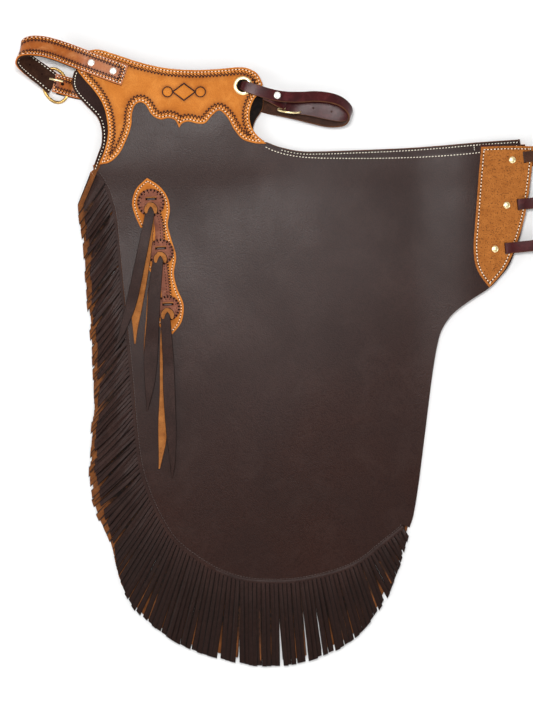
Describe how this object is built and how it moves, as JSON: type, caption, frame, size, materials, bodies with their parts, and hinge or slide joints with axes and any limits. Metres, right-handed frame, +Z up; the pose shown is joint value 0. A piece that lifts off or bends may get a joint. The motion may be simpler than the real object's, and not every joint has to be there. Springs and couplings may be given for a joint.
{
  "type": "leather chaps",
  "caption": "Short fringed riding chaps in dark leather with tooled tan yokes, laid flat and folded one leg on the other.",
  "frame": {"origin": "middle of the garment's box, at the underside that rests on the ground", "axes": "+Y from the fringed hem to the waist, +X from the fringed outer edges to the leg straps, +Z up through the folded layers"},
  "size_m": [0.8206, 0.9178, 0.0536],
  "materials": {
    "leather_dark": "satin oiled grain",
    "leather_tan": "satin tooled",
    "suede_tan": "rough-out suede",
    "suede_rust": "raw flesh side",
    "leather_red_brown": "matte dyed",
    "leather_burgundy": "waxed latigo",
    "lining_brown": "matte",
    "brass": "polished",
    "nickel": "polished nickel"
  },
  "bodies": {
    "root": {"belt_face": "leather_tan", "belt_lining": "lining_brown", "belt_rivet_1": "nickel", "belt_rivet_2": "nickel", "buckle_frame": "brass", "buckle_strap": "leather_tan", "buckle_tongue": "brass", "facing_top_lower": "leather_dark", "facing_waist_lower": "leather_dark", "fringe_lower": "suede_rust", "fringe_upper": "leather_dark", "front_buckle_frame": "brass", "front_buckle_strap": "leather_burgundy", "front_rivet": "nickel", "front_strap": "leather_burgundy", "front_tail": "leather_burgundy", "grommet": "brass", "leg_lower": "leather_dark", "leg_strap_1": "leather_burgundy", "leg_strap_2": "leather_burgundy", "leg_strap_3": "leather_burgundy", "leg_upper": "leather_dark", "lower_strap_1": "leather_burgundy", "lower_strap_2": "leather_burgundy", "lower_strap_3": "leather_burgundy", "patch_lower": "suede_tan", "patch_rivet_1": "brass", "patch_rivet_2": "brass", "patch_rivet_3": "brass", "patch_upper": "suede_tan", "rosette_1": "leather_red_brown", "rosette_2": "leather_red_brown", "rosette_3": "leather_red_brown", "side_panel": "leather_tan", "string_flesh_1": "suede_rust", "string_flesh_2": "suede_rust", "string_flesh_3": "suede_rust", "string_grain_1": "leather_dark", "string_grain_2": "leather_dark", "string_grain_3": "leather_dark", "string_loop_1": "suede_rust", "string_loop_2": "suede_rust", "string_loop_3": "suede_rust", "yoke_dome_left": "leather_tan", "yoke_dome_right": "leather_tan", "yoke_lower": "leather_tan", "yoke_lozenge": "leather_tan", "yoke_upper": "leather_tan"}
  },
  "joints": []
}
